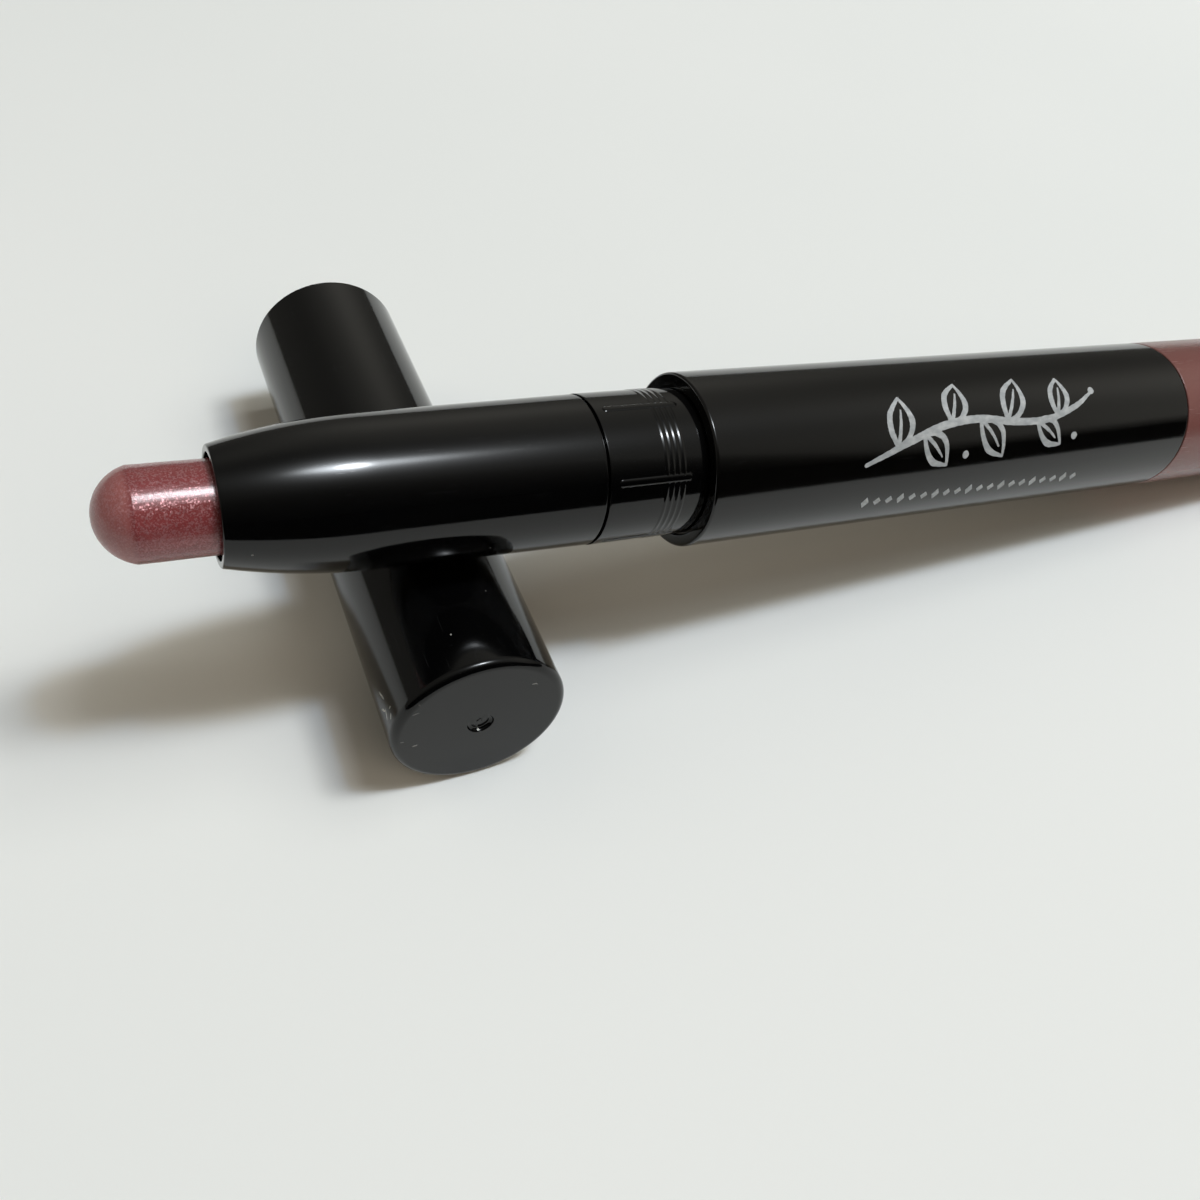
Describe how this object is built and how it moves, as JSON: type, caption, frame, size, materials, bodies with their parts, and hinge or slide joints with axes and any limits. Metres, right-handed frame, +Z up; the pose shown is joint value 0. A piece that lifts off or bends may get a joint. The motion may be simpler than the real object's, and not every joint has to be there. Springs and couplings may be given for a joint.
{
  "type": "twist-up lip crayon",
  "caption": "Twist-up lip crayon: a stick of colour in a tapered nose, fed out by turning the tail, resting with its nose on its cap.",
  "frame": {"origin": "bottom centre of the overall box, on the table under the crayon and its cap", "axes": "+Z up, +X towards the tail, +Y along the cap towards its open end"},
  "size_m": [0.112, 0.045, 0.0243],
  "materials": {
    "black_shell": "glossy",
    "black_barrel": "glossy, printed",
    "black_cap": "glossy",
    "rose_knob": "satin gloss",
    "lip_colour": "satin pearl wax",
    "inner_natural": "matte",
    "inner_acetal": "matte",
    "inner_black": "matte",
    "liner_black": "satin",
    "ring_rubber": "matte"
  },
  "bodies": {
    "barrel": {"nose_sleeve": "black_shell", "front_collar": "black_shell", "main_barrel": "black_barrel", "guide_tube": "inner_black"},
    "tail": {"tail_knob": "rose_knob", "tail_plug": "inner_black", "drive_spiral": "inner_acetal", "drag_o_ring": "ring_rubber"},
    "bullet": {"color_bullet": "lip_colour", "bullet_carrier": "inner_natural"},
    "cap": {"cap_shell": "black_cap", "cap_liner": "liner_black"}
  },
  "joints": [
    {"name": "tail_twist", "type": "hinge", "parent": "barrel", "child": "tail", "pos_m": [0.0318, -0.01055, 0.00945], "axis": [-0.9914, 0, 0.1309], "range_deg": [-382.5, 697.5]},
    {"name": "bullet_feed", "type": "slide", "parent": "barrel", "child": "bullet", "axis": [-0.9914, 0, 0.1309], "range_m": [-0.0085, 0.0155]},
    {"name": "cap_draw", "type": "slide", "parent": "barrel", "child": "cap", "axis": [0, -1, 0], "range_m": [0, 0.045]}
  ],
  "couplings": [
    {"joint": "bullet_feed", "follows": "tail_twist", "m_per_rad": 0.0012732}
  ]
}
